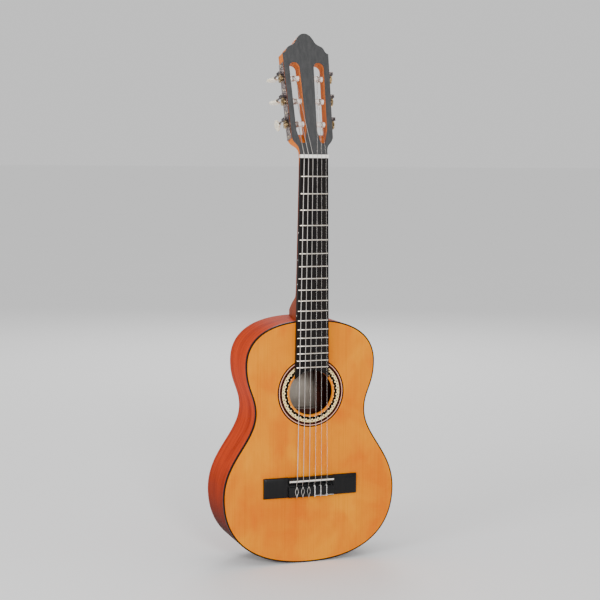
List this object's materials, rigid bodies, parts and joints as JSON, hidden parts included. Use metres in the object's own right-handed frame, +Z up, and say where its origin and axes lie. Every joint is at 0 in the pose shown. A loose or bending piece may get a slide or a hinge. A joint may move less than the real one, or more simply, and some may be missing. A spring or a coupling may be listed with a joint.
{
  "type": "classical guitar",
  "caption": "Small classical guitar with a figure-of-eight sound box, slotted head, geared tuners, tie bridge and nylon strings.",
  "frame": {"origin": "middle of the nut's front edge, in the plane of the soundboard's face and the fingerboard's glue line, where a hanger's fork takes the neck", "axes": "+X right seen from the front, +Y from the face to the back, +Z up the neck to the head"},
  "size_m": [0.272, 0.0971, 0.793],
  "materials": {
    "top_wood": "satin lacquered spruce, orange",
    "side_wood": "gloss lacquered red-brown laminate",
    "neck_wood": "satin lacquered red-brown hardwood",
    "head_wood": "satin lacquered orange-brown hardwood",
    "inner_wood": "bare unfinished wood",
    "black_wood": "satin black-stained hardwood",
    "veneer_black": "satin black veneer",
    "binding_black": "gloss dark binding",
    "dark_strip": "dark lacquered wood strip",
    "rosette_inlay": "lacquered inlay of cream, brown and black",
    "bone_white": "polished white plastic",
    "dot_white": "pearl plastic",
    "fret_metal": "polished nickel silver",
    "string_nylon": "clear nylon",
    "string_wound": "silver-plated winding",
    "plate_metal": "nickel plated, engraved",
    "screw_metal": "nickel plated screws",
    "gear_brass": "cut brass",
    "worm_steel": "nickel plated steel",
    "roller_white": "white plastic",
    "button_pearl": "pearloid plastic",
    "label_paper": "blank aged paper"
  },
  "bodies": {
    "root": {"soundboard": "top_wood", "rosette": "rosette_inlay", "bass_side": "side_wood", "treble_side": "side_wood", "back": "side_wood", "back_center_strip": "inner_wood", "top_linings": "inner_wood", "back_linings": "inner_wood", "top_binding": "binding_black", "end_strip": "dark_strip", "tail_block": "inner_wood", "neck_block": "inner_wood", "fan_braces": "inner_wood", "cross_braces": "inner_wood", "back_braces": "inner_wood", "label": "label_paper", "neck": "neck_wood", "headstock": "head_wood", "heel_cap": "dark_strip", "fingerboard": "black_wood", "frets": "fret_metal", "nut": "bone_white", "head_veneer": "veneer_black", "side_dots": "dot_white", "bridge": "black_wood", "saddle": "bone_white", "tuner_plate_bass": "plate_metal", "tuner_plate_treble": "plate_metal", "plate_screws": "screw_metal", "string_1": "string_nylon", "string_2": "string_nylon", "string_3": "string_nylon", "string_4": "string_wound", "string_5": "string_wound", "string_6": "string_wound"},
    "tuner_1": {"button_1": "button_pearl", "worm_1": "worm_steel"},
    "winder_1": {"gear_1": "gear_brass", "roller_1": "roller_white"},
    "tuner_2": {"button_2": "button_pearl", "worm_2": "worm_steel"},
    "winder_2": {"gear_2": "gear_brass", "roller_2": "roller_white"},
    "tuner_3": {"button_3": "button_pearl", "worm_3": "worm_steel"},
    "winder_3": {"gear_3": "gear_brass", "roller_3": "roller_white"},
    "tuner_4": {"button_4": "button_pearl", "worm_4": "worm_steel"},
    "winder_4": {"gear_4": "gear_brass", "roller_4": "roller_white"},
    "tuner_5": {"button_5": "button_pearl", "worm_5": "worm_steel"},
    "winder_5": {"gear_5": "gear_brass", "roller_5": "roller_white"},
    "tuner_6": {"button_6": "button_pearl", "worm_6": "worm_steel"},
    "winder_6": {"gear_6": "gear_brass", "roller_6": "roller_white"}
  },
  "joints": [
    {"name": "button_turn_1", "type": "hinge", "parent": "root", "child": "tuner_1", "pos_m": [0.03791, 0.02161, 0.0562], "axis": [0, 0.9659, -0.2588], "continuous": true},
    {"name": "winder_turn_1", "type": "hinge", "parent": "root", "child": "winder_1", "pos_m": [0.03266, 0.01958, 0.04863], "axis": [0.9995, -0.0081, -0.0303], "continuous": true},
    {"name": "button_turn_2", "type": "hinge", "parent": "root", "child": "tuner_2", "pos_m": [0.03901, 0.03066, 0.08999], "axis": [0, 0.9659, -0.2588], "continuous": true},
    {"name": "winder_turn_2", "type": "hinge", "parent": "root", "child": "winder_2", "pos_m": [0.03376, 0.02863, 0.08242], "axis": [0.9995, -0.0081, -0.0303], "continuous": true},
    {"name": "button_turn_3", "type": "hinge", "parent": "root", "child": "tuner_3", "pos_m": [0.04011, 0.03972, 0.12378], "axis": [0, 0.9659, -0.2588], "continuous": true},
    {"name": "winder_turn_3", "type": "hinge", "parent": "root", "child": "winder_3", "pos_m": [0.03486, 0.03769, 0.11621], "axis": [0.9995, -0.0081, -0.0303], "continuous": true},
    {"name": "button_turn_4", "type": "hinge", "parent": "root", "child": "tuner_4", "pos_m": [-0.04011, 0.03972, 0.12378], "axis": [0, 0.9659, -0.2588], "continuous": true},
    {"name": "winder_turn_4", "type": "hinge", "parent": "root", "child": "winder_4", "pos_m": [-0.03486, 0.03769, 0.11621], "axis": [-0.9995, -0.0081, -0.0303], "continuous": true},
    {"name": "button_turn_5", "type": "hinge", "parent": "root", "child": "tuner_5", "pos_m": [-0.03901, 0.03066, 0.08999], "axis": [0, 0.9659, -0.2588], "continuous": true},
    {"name": "winder_turn_5", "type": "hinge", "parent": "root", "child": "winder_5", "pos_m": [-0.03376, 0.02863, 0.08242], "axis": [-0.9995, -0.0081, -0.0303], "continuous": true},
    {"name": "button_turn_6", "type": "hinge", "parent": "root", "child": "tuner_6", "pos_m": [-0.03791, 0.02161, 0.0562], "axis": [0, 0.9659, -0.2588], "continuous": true},
    {"name": "winder_turn_6", "type": "hinge", "parent": "root", "child": "winder_6", "pos_m": [-0.03266, 0.01958, 0.04863], "axis": [-0.9995, -0.0081, -0.0303], "continuous": true}
  ],
  "couplings": [
    {"joint": "winder_turn_1", "follows": "button_turn_1", "ratio": 0.071429},
    {"joint": "winder_turn_2", "follows": "button_turn_2", "ratio": 0.071429},
    {"joint": "winder_turn_3", "follows": "button_turn_3", "ratio": 0.071429},
    {"joint": "winder_turn_4", "follows": "button_turn_4", "ratio": 0.071429},
    {"joint": "winder_turn_5", "follows": "button_turn_5", "ratio": 0.071429},
    {"joint": "winder_turn_6", "follows": "button_turn_6", "ratio": 0.071429}
  ]
}
